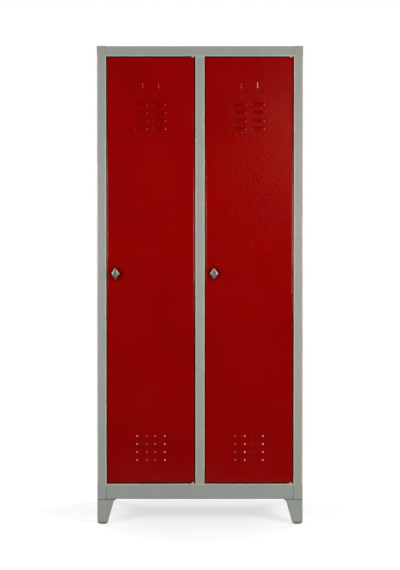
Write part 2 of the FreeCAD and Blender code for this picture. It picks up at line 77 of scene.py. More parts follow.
# Colours are written as sRGB hex and used as linear light
def linear(hexColour):
    channels = [int(hexColour[i:i + 2], 16) / 255 for i in (1, 3, 5)]
    return [c / 12.92 if c <= 0.04045 else ((c + 0.055) / 1.055) ** 2.4 for c in channels] + [1.0]


# Adds a node with its settings and links; a node given as an input stands for its first output in use
def addNode(tree, kind, inputs=None, **settings):
    node = tree.nodes.new(kind)
    for name, value in settings.items():
        setattr(node, name, value)
    for socket, value in (inputs or {}).items():
        if isinstance(value, bpy.types.Node):
            value = next(output for output in value.outputs if output.enabled)
        if isinstance(value, bpy.types.NodeSocket):
            tree.links.new(value, node.inputs[socket])
        else:
            node.inputs[socket].default_value = value
    return node


# An empty material, with its node tree and the place on the object that its patterns follow
def newMaterial(name):
    material = bpy.data.materials.new(name)
    material.use_nodes = True
    tree = material.node_tree
    tree.nodes.clear()
    return material, tree, addNode(tree, "ShaderNodeTexCoord").outputs["Object"]


# A surface's last step: shader to output
def closeMaterial(tree, shader):
    addNode(tree, "ShaderNodeOutputMaterial", {"Surface": shader})


# Soft blotches about size mm across: noise stretched between two values
blotchLook = {"roughness": 0.55, "low": 0.22, "high": 0.78}


def blotches(tree, place, size, detail, low, high):
    noise = addNode(tree, "ShaderNodeTexNoise", {
        "Vector": place, "Scale": 1 / (size * mm), "Detail": detail, "Roughness": blotchLook["roughness"]})
    return addNode(tree, "ShaderNodeMapRange", {
        "Value": noise, "From Min": blotchLook["low"], "From Max": blotchLook["high"],
        "To Min": low, "To Max": high}, interpolation_type="SMOOTHSTEP")


# A base tone that goes from dark to light in soft clouds
def cloudyTone(tree, place, look):
    cloud = blotches(tree, place, look["cloudSize"], look["cloudDetail"], 0, 1)
    return addNode(tree, "ShaderNodeMix", {
        "Factor": cloud, "A": linear(look["dark"]), "B": linear(look["light"])}, data_type="RGBA")


# Edges: 1 where a rounded normal leaves the true one
edgeLook = {"samples": 4, "flat": 0.998, "turned": 0.93, "chipDetail": 4.0, "chipFade": 0.12}


def edgeMask(tree, radius):
    rounded = addNode(tree, "ShaderNodeBevel", {"Radius": radius * mm}, samples=edgeLook["samples"])
    true = addNode(tree, "ShaderNodeNewGeometry")
    agreement = addNode(tree, "ShaderNodeVectorMath", {
        0: rounded, 1: true.outputs["Normal"]}, operation="DOT_PRODUCT")
    return addNode(tree, "ShaderNodeMapRange", {
        "Value": agreement, "From Min": edgeLook["flat"], "From Max": edgeLook["turned"]})


# Chips: the edges broken up by noise
def chipMask(tree, place, edge, grain, level):
    noise = addNode(tree, "ShaderNodeTexNoise", {
        "Vector": place, "Scale": 1 / (grain * mm), "Detail": edgeLook["chipDetail"]})
    broken = addNode(tree, "ShaderNodeMapRange", {
        "Value": noise, "From Min": level, "From Max": level + edgeLook["chipFade"]})
    return addNode(tree, "ShaderNodeMath", {0: edge, 1: broken}, operation="MULTIPLY")


# What every coat of enamel has in common
enamelLook = {
    "fleckDetail": 2.0, "smearDetail": 1.5, "hollowSamples": 8, "clearStart": 0.7, "clearEnd": 0.97,
    "paleBandFade": 6, "glintEnd": 0.4, "shadeStart": 0.2, "knobShadowStart": 0.9,
    "peelDetail": 2.0, "peelRoughness": 0.4, "waveDetail": 1.0, "ior": 1.5}


# The coat before wear: clouds, small flecks and, on the doors, a lower part painted darker as shade
def enamelTone(tree, place, height, look):
    fleck = blotches(tree, place, look["fleckSize"], enamelLook["fleckDetail"], 0, look["fleckShare"])
    flecked = addNode(tree, "ShaderNodeMix", {
        "Factor": fleck, "A": cloudyTone(tree, place, look), "B": linear(look["fleck"])}, data_type="RGBA")
    if "lowShade" not in look:
        return flecked
    low = addNode(tree, "ShaderNodeMapRange", {
        "Value": height, "From Min": look["lowShadeStart"] * mm, "From Max": look["lowShadeEnd"] * mm,
        "To Min": look["lowShadeShare"], "To Max": 0}, interpolation_type="SMOOTHSTEP")
    return addNode(tree, "ShaderNodeMix", {
        "Factor": low, "A": flecked, "B": linear(look["lowShade"])}, data_type="RGBA")


# Wear and painted highlight: pale folds, where the paint wears thinner and a highlight is painted on,
# chips down to the primer, and pale spots painted on as glints
def enamelWear(tree, place, height, hollow, colour, look):
    edge = edgeMask(tree, look["edgeRadius"])
    clear = addNode(tree, "ShaderNodeMapRange", {
        "Value": hollow, "From Min": enamelLook["clearStart"], "From Max": enamelLook["clearEnd"],
        "To Min": 0, "To Max": look["edgeShare"]})
    # Pale folds, wear and painted highlight both, only in a band round the height of the door openings
    fromMiddle = addNode(tree, "ShaderNodeMath", {
        0: height, 1: look["paleBandMiddle"] * mm}, operation="SUBTRACT")
    away = addNode(tree, "ShaderNodeMath", {0: fromMiddle}, operation="ABSOLUTE")
    inPaleBand = addNode(tree, "ShaderNodeMapRange", {
        "Value": away, "From Min": look["paleBandHalf"] * mm,
        "From Max": (look["paleBandHalf"] + enamelLook["paleBandFade"]) * mm, "To Min": 1, "To Max": 0})
    exposed = addNode(tree, "ShaderNodeMath", {0: clear, 1: inPaleBand}, operation="MULTIPLY")
    wornAndHighlit = addNode(tree, "ShaderNodeMath", {0: edge, 1: exposed}, operation="MULTIPLY")
    chipped = chipMask(tree, place, edge, look["chipGrain"], look["chipLevel"])
    # Pale spots painted as glints, read from the mesh's spot layer
    glintAttribute = addNode(tree, "ShaderNodeAttribute", attribute_name="worn")
    paintedGlint = addNode(tree, "ShaderNodeMapRange", {
        "Value": glintAttribute.outputs["Fac"], "From Min": 0, "From Max": enamelLook["glintEnd"]})
    for layer, share in (("edge", wornAndHighlit), ("primer", chipped), ("paintedGlint", paintedGlint)):
        colour = addNode(tree, "ShaderNodeMix", {
            "Factor": share, "A": colour, "B": linear(look[layer])}, data_type="RGBA")
    return colour


# A painted shadow: a dark diamond round each knob, repeated from door to door
def knobShadow(tree, place, look):
    spacing = look["knobShadowSpacing"] * mm / 2
    split = addNode(tree, "ShaderNodeSeparateXYZ", {"Vector": place})
    fromKnob = addNode(tree, "ShaderNodeMath", {
        0: split.outputs["X"], 1: look["knobShadowX"] * mm}, operation="SUBTRACT")
    across = addNode(tree, "ShaderNodeMath", {0: fromKnob, 1: spacing, 2: -spacing}, operation="WRAP")
    up = addNode(tree, "ShaderNodeMath", {
        0: split.outputs["Z"], 1: look["knobShadowZ"] * mm}, operation="SUBTRACT")
    shares = []
    for offset, half in zip((across, up), look["knobShadowHalf"]):
        away = addNode(tree, "ShaderNodeMath", {0: offset}, operation="ABSOLUTE")
        shares.append(addNode(tree, "ShaderNodeMath", {0: away, 1: half * mm}, operation="DIVIDE"))
    total = addNode(tree, "ShaderNodeMath", {0: shares[0], 1: shares[1]}, operation="ADD")
    return addNode(tree, "ShaderNodeMapRange", {
        "Value": total, "From Min": enamelLook["knobShadowStart"], "From Max": look["knobShadowReach"],
        "To Min": look["knobShadowShare"], "To Max": 0}, interpolation_type="SMOOTHSTEP")


# Painted shade: dark in gaps and corners where shade falls, with some dust there, and a painted shadow round
# each knob
def enamelShadeAndDust(tree, place, hollow, colour, look):
    share = addNode(tree, "ShaderNodeMapRange", {
        "Value": hollow, "From Min": enamelLook["shadeStart"], "From Max": look["shadeEnd"],
        "To Min": look["shadeShare"], "To Max": 0})
    if "knobShadowReach" in look:
        knobShade = knobShadow(tree, place, look)
        share = addNode(tree, "ShaderNodeMath", {0: share, 1: knobShade}, operation="MAXIMUM")
    return addNode(tree, "ShaderNodeMix", {
        "Factor": share, "A": colour, "B": linear(look["shadeAndDust"])}, data_type="RGBA")


# Orange peel in the coat, on a slight wave of the sheet
def enamelBump(tree, place, look):
    peel = addNode(tree, "ShaderNodeTexNoise", {
        "Vector": place, "Scale": 1 / (look["peelSize"] * mm), "Detail": enamelLook["peelDetail"],
        "Roughness": enamelLook["peelRoughness"]})
    wave = addNode(tree, "ShaderNodeTexNoise", {
        "Vector": place, "Scale": 1 / (look["waveSize"] * mm), "Detail": enamelLook["waveDetail"]})
    fine = addNode(tree, "ShaderNodeBump", {
        "Strength": look["peelStrength"], "Distance": look["peelDepth"] * mm, "Height": peel})
    return addNode(tree, "ShaderNodeBump", {
        "Strength": look["waveStrength"], "Distance": look["waveDepth"] * mm, "Height": wave,
        "Normal": fine})


# Stoved enamel on sheet steel: an even opaque coat with a slight orange peel that breaks up
# reflections, thinner on the folds and painted paler there as a highlight, chipped to primer here and
# there on the edges, with painted shade dark in gaps and corners and some dust there
def stovedEnamel(name, look):
    material, tree, place = newMaterial(name)
    height = addNode(tree, "ShaderNodeSeparateXYZ", {"Vector": place}).outputs["Z"]
    hollow = addNode(tree, "ShaderNodeAmbientOcclusion", {
        "Distance": look["shadeReach"] * mm}, samples=enamelLook["hollowSamples"]).outputs["AO"]
    colour = enamelTone(tree, place, height, look)
    colour = enamelWear(tree, place, height, hollow, colour, look)
    colour = enamelShadeAndDust(tree, place, hollow, colour, look)
    gloss = blotches(
        tree, place, look["smearSize"], enamelLook["smearDetail"], look["glossLow"], look["glossHigh"])
    shader = addNode(tree, "ShaderNodeBsdfPrincipled", {
        "Base Color": colour, "Roughness": gloss, "IOR": enamelLook["ior"],
        "Normal": enamelBump(tree, place, look)})
    closeMaterial(tree, shader)
    return material


# Real peel is about 1.5 mm and is drawn coarser, to show
# Both looks: pale edges are wear and painted highlight; the dark hollow colour is painted shade with some
# dust
greyLook = {
    "dark": "#919791", "light": "#979991", "cloudSize": 110, "cloudDetail": 1.5,
    "fleck": "#A3A69E", "fleckSize": 11, "fleckShare": 0.3,
    "edge": "#EED3C2", "edgeRadius": 6.0, "edgeShare": 0.9, "paleBandMiddle": 983.75, "paleBandHalf": 827,
    "primer": "#6E6A62", "chipGrain": 14, "chipLevel": 0.72, "paintedGlint": "#C9C2B2",
    "shadeAndDust": "#260804", "shadeReach": 14, "shadeEnd": 0.94, "shadeShare": 0.95,
    "glossLow": 0.23, "glossHigh": 0.27, "smearSize": 90,
    "peelSize": 5, "peelDepth": 0.5, "peelStrength": 0.1,
    "waveSize": 160, "waveDepth": 4, "waveStrength": 0.03}
# On the red also: a lower part painted darker as shade, a painted knob shadow, and pale glints painted on
redLook = {
    "dark": "#820000", "light": "#8D0100", "cloudSize": 260, "cloudDetail": 1.5,
    "fleck": "#9E0403", "fleckSize": 13, "fleckShare": 0.36,
    "lowShade": "#6A0303", "lowShadeStart": 860, "lowShadeEnd": 1080, "lowShadeShare": 0.15,
    "edge": "#B8433C", "edgeRadius": 2.0, "edgeShare": 0.15, "paleBandMiddle": 983.75, "paleBandHalf": 827,
    "primer": "#5E4A46", "chipGrain": 16, "chipLevel": 0.74, "paintedGlint": "#FF8E80",
    "shadeAndDust": "#120101", "shadeReach": 28, "shadeEnd": 0.8, "shadeShare": 0.92,
    "knobShadowX": doorSides["left"] + latchX, "knobShadowZ": latchZ, "knobShadowHalf": knobHalf,
    "knobShadowSpacing": doorSides["right"] - doorSides["left"], "knobShadowReach": 1.85, "knobShadowShare": 0.9,
    "glossLow": 0.1, "glossHigh": 0.15, "smearSize": 140,
    "peelSize": 7, "peelDepth": 0.7, "peelStrength": 0.8,
    "waveSize": 180, "waveDepth": 5, "waveStrength": 0.1}
greyEnamel = stovedEnamel("greyStovedEnamel", greyLook)
redEnamel = stovedEnamel("redStovedEnamel", redLook)


# Fine marks: noise that varies the gloss and stands out a little
markLook = {"detail": 3.0, "low": 0.3, "high": 0.7}


def fineMarks(tree, place, look):
    marks = addNode(tree, "ShaderNodeTexNoise", {
        "Vector": place, "Scale": 1 / (look["markSize"] * mm), "Detail": markLook["detail"]})
    gloss = addNode(tree, "ShaderNodeMapRange", {
        "Value": marks, "From Min": markLook["low"], "From Max": markLook["high"],
        "To Min": look["glossLow"], "To Max": look["glossHigh"]})
    bump = addNode(tree, "ShaderNodeBump", {
        "Strength": look["markStrength"], "Distance": look["markDepth"] * mm, "Height": marks})
    return gloss, bump


# A metal surface: a base tone with cloudy tarnish, paler edges from polish by use and as a painted
# highlight, and fine marks
def metalFinish(name, look):
    material, tree, place = newMaterial(name)
    share = addNode(tree, "ShaderNodeMath", {
        0: edgeMask(tree, look["edgeRadius"]), 1: look["edgeShare"]}, operation="MULTIPLY")
    paleEdged = addNode(tree, "ShaderNodeMix", {
        "Factor": share, "A": cloudyTone(tree, place, look), "B": linear(look["edge"])}, data_type="RGBA")
    gloss, normal = fineMarks(tree, place, look)
    shader = addNode(tree, "ShaderNodeBsdfPrincipled", {
        "Base Color": paleEdged, "Metallic": 1.0, "Roughness": gloss, "Normal": normal})
    closeMaterial(tree, shader)
    return material


# Zinc die casting: a matt warm grey with faint pits, its rim pale from the polish of hands and as a painted
# highlight
castZinc = metalFinish("dieCastZinc", {
    "dark": "#958B83", "light": "#B4A9A0", "cloudSize": 14, "cloudDetail": 4.0,
    "edge": "#FFF4EA", "edgeRadius": 3.2, "edgeShare": 0.95,
    "markSize": 0.9, "markStrength": 0.15, "markDepth": 0.12, "glossLow": 0.36, "glossHigh": 0.44})
# Bright zinc plating on drawn steel: cool grey with cloudy passivation and fine marks
platedSteel = metalFinish("zincPlatedSteel", {
    "dark": "#A9AAA2", "light": "#C9CAC4", "cloudSize": 30, "cloudDetail": 4.0,
    "edge": "#DADBD6", "edgeRadius": 0.8, "edgeShare": 0.6,
    "markSize": 1.2, "markStrength": 0.12, "markDepth": 0.1, "glossLow": 0.25, "glossHigh": 0.4})


# A moulded surface: one even tone with faint clouding and the fine texture of the mould
def mouldedFinish(name, look):
    material, tree, place = newMaterial(name)
    gloss, normal = fineMarks(tree, place, look)
    shader = addNode(tree, "ShaderNodeBsdfPrincipled", {
        "Base Color": cloudyTone(tree, place, look), "Roughness": gloss, "IOR": look["ior"],
        "Normal": normal})
    closeMaterial(tree, shader)
    return material


# Natural nylon, moulded: creamy white, dull sheen
nylon = mouldedFinish("mouldedNylon", {
    "dark": "#CFCABB", "light": "#DEDACD", "cloudSize": 12, "cloudDetail": 3.0, "ior": 1.53,
    "markSize": 0.6, "markStrength": 0.2, "markDepth": 0.1, "glossLow": 0.42, "glossHigh": 0.55})
# Black rubber, moulded: dull, slightly dusty
rubber = mouldedFinish("mouldedRubber", {
    "dark": "#151515", "light": "#232221", "cloudSize": 6, "cloudDetail": 3.0, "ior": 1.52,
    "markSize": 0.5, "markStrength": 0.2, "markDepth": 0.15, "glossLow": 0.65, "glossHigh": 0.85})
slotMaterials = {
    "grey_enamel": greyEnamel, "red_enamel": redEnamel, "cast_zinc": castZinc, "plated_steel": platedSteel,
    "nylon": nylon, "rubber": rubber}
print("materials made:", len(slotMaterials))

# Every CAD node that is carried over takes the finish of its slot
for part in frame["record"]["subparts"]:
    mesh = nodes[part["node"]].data
    mesh.materials.clear()
    mesh.materials.append(slotMaterials[part["material_slot"]])


# Turns a bmesh into a piece that rides on a body and may stand for CAD nodes; a wall makes a skin a sheet
def finishPiece(bm, name, body, slot, replaced=(), sharpAngle=35, wall=0):
    mesh = bpy.data.meshes.new(name)
    bm.to_mesh(mesh)
    bm.free()
    mesh.shade_smooth()
    mesh.set_sharp_from_angle(angle=math.radians(sharpAngle))
    mesh.materials.append(slotMaterials[slot])
    piece = bpy.data.objects.new(name, mesh)
    bpy.context.scene.collection.objects.link(piece)
    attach(piece, body)
    if replaced:
        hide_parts(*replaced)
    if wall:
        sheet = piece.modifiers.new("sheet", "SOLIDIFY")
        sheet.thickness = wall * mm
        sheet.offset = -1
    even = piece.modifiers.new("evenShading", "WEIGHTED_NORMAL")
    even.keep_sharp = True
    return piece


# A piece's lengths in metres
def inMetres(settings):
    return {name: value * mm for name, value in settings.items() if isinstance(value, (int, float))}


# The points among what an operator made
def vertsAmong(geometry):
    return [item for item in geometry if isinstance(item, bmesh.types.BMVert)]


# Every edge of some faces or points, each once
def edgesOf(items, links):
    return list(dict.fromkeys(edge for item in items for edge in getattr(item, links)))


# Rounds edges by an offset in mm
def roundEdges(bm, edges, offset, segments, clamp=False):
    bmesh.ops.bevel(
        bm, geom=edges, offset=offset * mm, segments=segments, profile=0.5, affect="EDGES", material=-1,
        clamp_overlap=clamp)


# Skins a stack of loops, whose two ends are closed or joined to each other
def skinLoops(bm, loops, joined=False):
    following = loops[1:] + loops[:1] if joined else loops[1:]
    for first, second in zip(loops, following):
        bmesh.ops.bridge_loops(bm, edges=first + second)
    if not joined:
        for end in (loops[-1], loops[0]):
            bmesh.ops.contextual_create(bm, geom=end)
    bmesh.ops.recalc_face_normals(bm, faces=bm.faces)


# A rounded rise from 0 at the edge to 1 at the end of the run
def rise(distance, run):
    share = min(max(distance / run, 0), 1)
    return math.sin(math.pi / 2 * share)


# A soft rise that starts and ends level
def swell(distance, run):
    share = min(max(distance / run, 0), 1)
    return (1 - math.cos(math.pi * share)) / 2


# The door skin: one sheet folded into a pan, with louvres and card lances pressed out of it
doorLow, doorHigh = spanOf("left_door_panel")
doorSheet = 1.0
doorSkin = {
    "halfWidth": (doorHigh[0] - doorLow[0]) / 2, "bottom": doorLow[2], "top": doorHigh[2],
    "front": spanOf("left_door_stiffener")[0][1] - doorSheet, "back": doorHigh[1], "sheet": doorSheet,
    "foldRadius": 2.5, "foldSegments": 4, "backFlange": 16, "latchHole": 8, "latchPatch": 12, "latchCuts": 7}
# Painted highlight spots (glints) on the hoods are given along a lip from its middle, up from the lip, and
# by radius; one lance is painted bright along its whole lip
louvre = {
    "columns": (-35, 35), "lips": (240.5, 271.5, 302.5, 333.5, 1528, 1559, 1590, 1621), "lowBelow": 985,
    "half": 25, "topHalf": 19.5, "height": 13, "out": 4.8, "topRun": 12.5, "endRun": 3.2, "slitRun": 9,
    "gap": 0.8, "cuts": 19,
    "lowSpots": {
        "left": {-35: ((-19.2, 10, 3.8), (19.2, 10, 1.9)), 35: ((-19.2, 10, 2.5), (19.2, 10, 3.6))},
        "right": {-35: ((-19.2, 10, 2.3), (19.2, 10, 4.0)), 35: ((19.2, 10, 4.2),)}},
    "highSpots": {-35: ((-23.5, 0.8, 1.5), (23.5, 0.8, 2.6)), 35: ((-23.5, 0.8, 1.4), (23.5, 0.8, 2.9))}}
lance = {
    "lip": 30, "level": 1698.5, "half": 12, "topHalf": 11.5, "height": 5, "out": 1.8, "topRun": 5,
    "endRun": 3, "slitRun": 4, "gap": 0.4, "cuts": 11,
    "spots": ((-9.5, 0.5, 1.6), (-5, 0.3, 0.8), (-1, 0.3, 0.7), (3, 0.3, 0.8), (6.5, 0.3, 0.8)),
    "brightLance": ("right", 1), "brightLanceSpots": tuple((along, 1.5, 3.2) for along in (-9, -5.5, -2, 1.5, 5, 8))}
hoodLip = {"roll": 3, "curl": 0.12, "glintWithin": 0.999}
acrossX = Vector((1, 0, 0))
upZ = Vector((0, 0, 1))


# The faces of the flat front that lie inside a rectangle, given in door coordinates
def facesWithin(bm, lowX, highX, lowZ, highZ):
    found = []
    for face in bm.faces:
        spot = face.calc_center_median()
        if abs(spot.y) < onPlane and lowX < spot.x < highX and lowZ < spot.z < highZ:
            found.append(face)
    return found


# Cuts those faces along a plane
def cutFaces(bm, faces, point, normal):
    corners = list(dict.fromkeys(vert for face in faces for vert in face.verts))
    geometry = corners + edgesOf(faces, "edges") + faces
    bmesh.ops.bisect_plane(bm, geom=geometry, dist=cutReach, plane_co=point, plane_no=normal)


# One pressed hood. across runs along the lip and up away from it; the lip is slit, curls in a little and
# stands open, the sheet on its other side is drawn back by the press, and the enamel is painted pale at
# spots as glints
def pressHood(bm, middle, across, up, settings, spots):
    size = inMetres(settings)
    half = size["half"]
    height = size["height"]
    glints = [[value * mm for value in spot] for spot in spots]
    worn = bm.verts.layers.float["worn"]
    corners = [middle - across * half, middle + across * half, middle + across * half + up * height]
    xs = [corner.x for corner in corners]
    zs = [corner.z for corner in corners]
    outline = (min(xs), max(xs), min(zs), max(zs))
    patch = facesWithin(bm, *outline)
    bmesh.ops.subdivide_edges(bm, edges=edgesOf(patch, "edges"), cuts=settings["cuts"], use_grid_fill=True)
    patch = facesWithin(bm, *outline)
    lipEdges = []
    for edge in edgesOf(patch, "edges"):
        if all(abs((vert.co - middle).dot(up)) < onPlane for vert in edge.verts):
            lipEdges.append(edge)
    bmesh.ops.split_edges(bm, edges=lipEdges)
    hood = {vert for face in patch for vert in face.verts}
    for vert in bm.verts:
        offset = vert.co - middle
        along = offset.dot(across) / half
        if abs(offset.y) > onPlane or abs(along) > 1 + onPlane:
            continue
        level = offset.dot(up)
        if vert in hood:
            reach = half + (size["topHalf"] - half) * level / height
            place = math.sin(math.pi / 2 * along) * reach
            curl = hoodLip["curl"] * max(0, 1 - level / (hoodLip["roll"] * mm)) ** 2
            pressed = swell(height - level, size["topRun"]) * rise(reach - abs(place), size["endRun"])
            # Paints pale highlight spots near the given places, as glints
            if abs(along) < hoodLip["glintWithin"] and level < hoodLip["glintWithin"] * height:
                for glintAlong, glintLevel, radius in glints:
                    away = math.hypot(place - glintAlong, level - glintLevel)
                    vert[worn] = max(vert[worn], 1 - away / radius)
            lift = size["out"] * (1 - curl) * pressed
            vert.co = middle + across * place + up * level + Vector((0, -lift, 0))
        elif abs(level) < onPlane:
            place = math.sin(math.pi / 2 * along) * half
            drop = size["gap"] * rise(half - abs(place), size["slitRun"])
            vert.co = middle + across * place - up * drop + Vector((0, drop / 2, 0))


# The pan: a flat front with walls folded back from it and a flange round the back
def foldPan(size):
    bm = bmesh.new()
    # A layer for the pale spots that are painted on as glints
    bm.verts.layers.float.new("worn")
    bmesh.ops.create_grid(bm, x_segments=1, y_segments=1, size=0.5)
    height = size["top"] - size["bottom"]
    bmesh.ops.scale(bm, vec=(2 * size["halfWidth"], height, 1), verts=bm.verts)
    bmesh.ops.rotate(bm, cent=(0, 0, 0), matrix=Matrix.Rotation(math.pi / 2, 3, "X"), verts=bm.verts)
    bmesh.ops.translate(bm, vec=(0, 0, size["bottom"] + height / 2), verts=bm.verts)
    frontEdges = bm.edges[:]
    walls = bmesh.ops.extrude_edge_only(bm, edges=frontEdges)["geom"]
    backEdges = [item for item in walls if isinstance(item, bmesh.types.BMEdge) and item.is_boundary]
    bmesh.ops.translate(bm, vec=(0, size["back"] - size["front"], 0), verts=vertsAmong(walls))
    flange = bmesh.ops.extrude_edge_only(bm, edges=backEdges)["geom"]
    for vert in vertsAmong(flange):
        vert.co.x -= math.copysign(size["backFlange"], vert.co.x)
        vert.co.z -= math.copysign(size["backFlange"], vert.co.z - latchZ * mm)
    roundEdges(bm, frontEdges, doorSkin["foldRadius"], doorSkin["foldSegments"])
    return bm


# Cuts rows right across the front, then columns only where a row needs them
def cutFront(bm, size):
    rows = []
    for lip in louvre["lips"]:
        columns = [(column + end * louvre["half"]) * mm for column in louvre["columns"] for end in (-1, 1)]
        rows.append((lip * mm, (lip + louvre["height"]) * mm, columns))
    columns = [end * (lance["lip"] + step) * mm for end in (-1, 1) for step in (0, lance["height"])]
    rows.append(((lance["level"] - lance["half"]) * mm, (lance["level"] + lance["half"]) * mm, columns))
    patch = doorSkin["latchPatch"]
    columns = [(latchX + end * patch) * mm for end in (-1, 1)]
    rows.append(((latchZ - patch) * mm, (latchZ + patch) * mm, columns))
    wide = size["halfWidth"]
    for low, high, columns in rows:
        for level in (low, high):
            cutFaces(bm, facesWithin(bm, -wide, wide, 0, size["top"]), (0, 0, level), upZ)
    for low, high, columns in rows:
        for column in columns:
            cutFaces(bm, facesWithin(bm, -wide, wide, low, high), (column, 0, 0), acrossX)


# The latch's hole: a patch whose ring of edges is drawn in to a circle
def openLatchHole(bm, size):
    spot = Vector((latchX * mm, 0, latchZ * mm))
    patch = size["latchPatch"]
    hole = facesWithin(bm, spot.x - patch, spot.x + patch, spot.z - patch, spot.z + patch)
    rim = edgesOf(hole, "edges")
    bmesh.ops.delete(bm, geom=hole, context="FACES_ONLY")
    bmesh.ops.subdivide_edges(bm, edges=rim, cuts=doorSkin["latchCuts"])
    rim = []
    for edge in bm.edges:
        offsets = [vert.co - spot for vert in edge.verts]
        near = all(max(abs(offset.x), abs(offset.z)) < patch + onPlane for offset in offsets)
        if edge.is_boundary and near and all(abs(offset.y) < onPlane for offset in offsets):
            rim.append(edge)
    ring = bmesh.ops.extrude_edge_only(bm, edges=rim)["geom"]
    for vert in vertsAmong(ring):
        vert.co = spot + (vert.co - spot).normalized() * size["latchHole"]


def makeDoorSkin(side, centre):
    size = inMetres(doorSkin)
    bm = foldPan(size)
    cutFront(bm, size)
    for lip in louvre["lips"]:
        spots = louvre["lowSpots"][side] if lip < louvre["lowBelow"] else louvre["highSpots"]
        for column in louvre["columns"]:
            pressHood(bm, Vector((column * mm, 0, lip * mm)), acrossX, upZ, louvre, spots[column])
    for end in (-1, 1):
        # One lance gets a painted highlight all along its lip
        spots = lance["brightLanceSpots" if (side, end) == lance["brightLance"] else "spots"]
        middle = Vector((end * lance["lip"] * mm, 0, lance["level"] * mm))
        pressHood(bm, middle, upZ, acrossX * end, lance, spots)
    openLatchHole(bm, size)
    bmesh.ops.recalc_face_normals(bm, faces=bm.faces)
    flat = max(bm.faces, key=lambda face: face.calc_area())
    if flat.normal.y > 0:
        bmesh.ops.reverse_faces(bm, faces=bm.faces)
    bmesh.ops.translate(bm, vec=(centre * mm, size["front"], 0), verts=bm.verts)
    panel = [side + "_door_panel"]
    finishPiece(bm, side + "DoorSkin", side + "_door", "red_enamel", panel, wall=doorSkin["sheet"])


for side, centre in doorSides.items():
    makeDoorSkin(side, centre)
print("door skins made")

# The turn knob: a cast diamond with blunt corners, bevelled front and back, a dished face and a round neck
knobSize = {
    "halfWidth": knobHalf[0], "halfHeight": knobHalf[1], "tip": 2.0, "face": knobLow[1],
    "edgeFront": 9.0, "edgeBevel": 1.35, "bevelScale": 0.83, "frontScale": 0.58,
    "backBevel": 3.0, "backScale": 0.86, "headBack": -246.4,
    "dishScale": 0.5, "dishFloor": 0.24, "dishDepth": 0.6,
    "round": 0.7, "roundSegments": 3, "roundAngle": 12,
    "neckEnd": knobHigh[1], "neckRadius": 9.5, "neckFlare": 1, "neckSink": 1, "neckRound": 0.6,
    "neckRoundSegments": 2, "neckSegments": 40, "sharpAngle": 50}


# One diamond outline with eight corners, at a scale and a depth
def diamondLoop(bm, scale, y):
    across = knobSize["halfWidth"] * scale
    up = knobSize["halfHeight"] * scale
    tip = knobSize["tip"]
    right = [(tip, up), (across, tip), (across, -tip), (tip, -up)]
    left = [(-x, z) for x, z in reversed(right)]
    verts = [bm.verts.new((x * mm, y * mm, z * mm)) for x, z in right + left]
    return [bm.edges.new(pair) for pair in zip(verts, verts[1:] + verts[:1])]


# The knob's round neck, which widens a little and runs into the head
def addNeck(bm):
    size = knobSize
    neck = bmesh.ops.create_cone(
        bm, cap_ends=True, segments=size["neckSegments"], radius1=size["neckRadius"] * mm,
        radius2=(size["neckRadius"] + size["neckFlare"]) * mm,
        depth=(size["neckEnd"] - size["headBack"] + size["neckSink"]) * mm)["verts"]
    middle = (size["neckEnd"] + size["headBack"] - size["neckSink"]) / 2
    bmesh.ops.rotate(bm, cent=(0, 0, 0), matrix=Matrix.Rotation(math.pi / 2, 3, "X"), verts=neck)
    bmesh.ops.translate(bm, vec=(0, middle * mm, 0), verts=neck)
    rims = []
    for edge in bm.edges:
        first, second = edge.verts
        if first in neck and second in neck and abs(first.co.y - second.co.y) < onPlane:
            rims.append(edge)
    roundEdges(bm, rims, size["neckRound"], size["neckRoundSegments"])


def makeKnob(side, centre):
    size = knobSize
    bm = bmesh.new()
    sections = [
        (size["backScale"], size["headBack"]), (1, size["headBack"] - size["backBevel"]),
        (1, size["face"] + size["edgeFront"]), (size["bevelScale"], size["face"] + size["edgeBevel"]),
        (size["frontScale"], size["face"]), (size["dishScale"], size["face"]),
        (size["dishFloor"], size["face"] + size["dishDepth"])]
    skinLoops(bm, [diamondLoop(bm, scale, y) for scale, y in sections])
    sharp = [edge for edge in bm.edges if edge.calc_face_angle(0) > math.radians(size["roundAngle"])]
    roundEdges(bm, sharp, size["round"], size["roundSegments"], True)
    addNeck(bm)
    bmesh.ops.translate(bm, vec=((centre + latchX) * mm, 0, latchZ * mm), verts=bm.verts)
    knob = [side + "_knob"]
    finishPiece(bm, side + "TurnKnob", side + "_latch", "cast_zinc", knob, size["sharpAngle"])


for side, centre in doorSides.items():
    makeKnob(side, centre)
print("knobs made")


# A turned form: (radius, height) steps spun about Z, turned to an axis and moved to its place, all in mm
def turnedForm(bm, steps, axis, place, segments=32):
    verts = [bm.verts.new((radius * mm, 0, height * mm)) for radius, height in steps]
    edges = [bm.edges.new(pair) for pair in zip(verts, verts[1:])]
    if steps[0][0] > 0:
        edges.append(bm.edges.new((verts[-1], verts[0])))
    bmesh.ops.spin(
        bm, geom=verts + edges, cent=(0, 0, 0), axis=(0, 0, 1), angle=2 * math.pi, steps=segments,
        use_merge=True)
    found = set(verts)
    queue = list(verts)
    while queue:
        for edge in queue.pop().link_edges:
            for vert in edge.verts:
                if vert not in found:
                    found.add(vert)
                    queue.append(vert)
    turn = Vector((0, 0, 1)).rotation_difference(Vector(axis)).to_matrix()
    bmesh.ops.rotate(bm, cent=(0, 0, 0), matrix=turn, verts=list(found))
    bmesh.ops.translate(bm, vec=Vector(place) * mm, verts=list(found))


# Joins the poles and seams of spun forms and points their faces outwards
def cleanForm(bm):
    bmesh.ops.remove_doubles(bm, verts=bm.verts, dist=weldReach)
    bmesh.ops.recalc_face_normals(bm, faces=bm.faces)


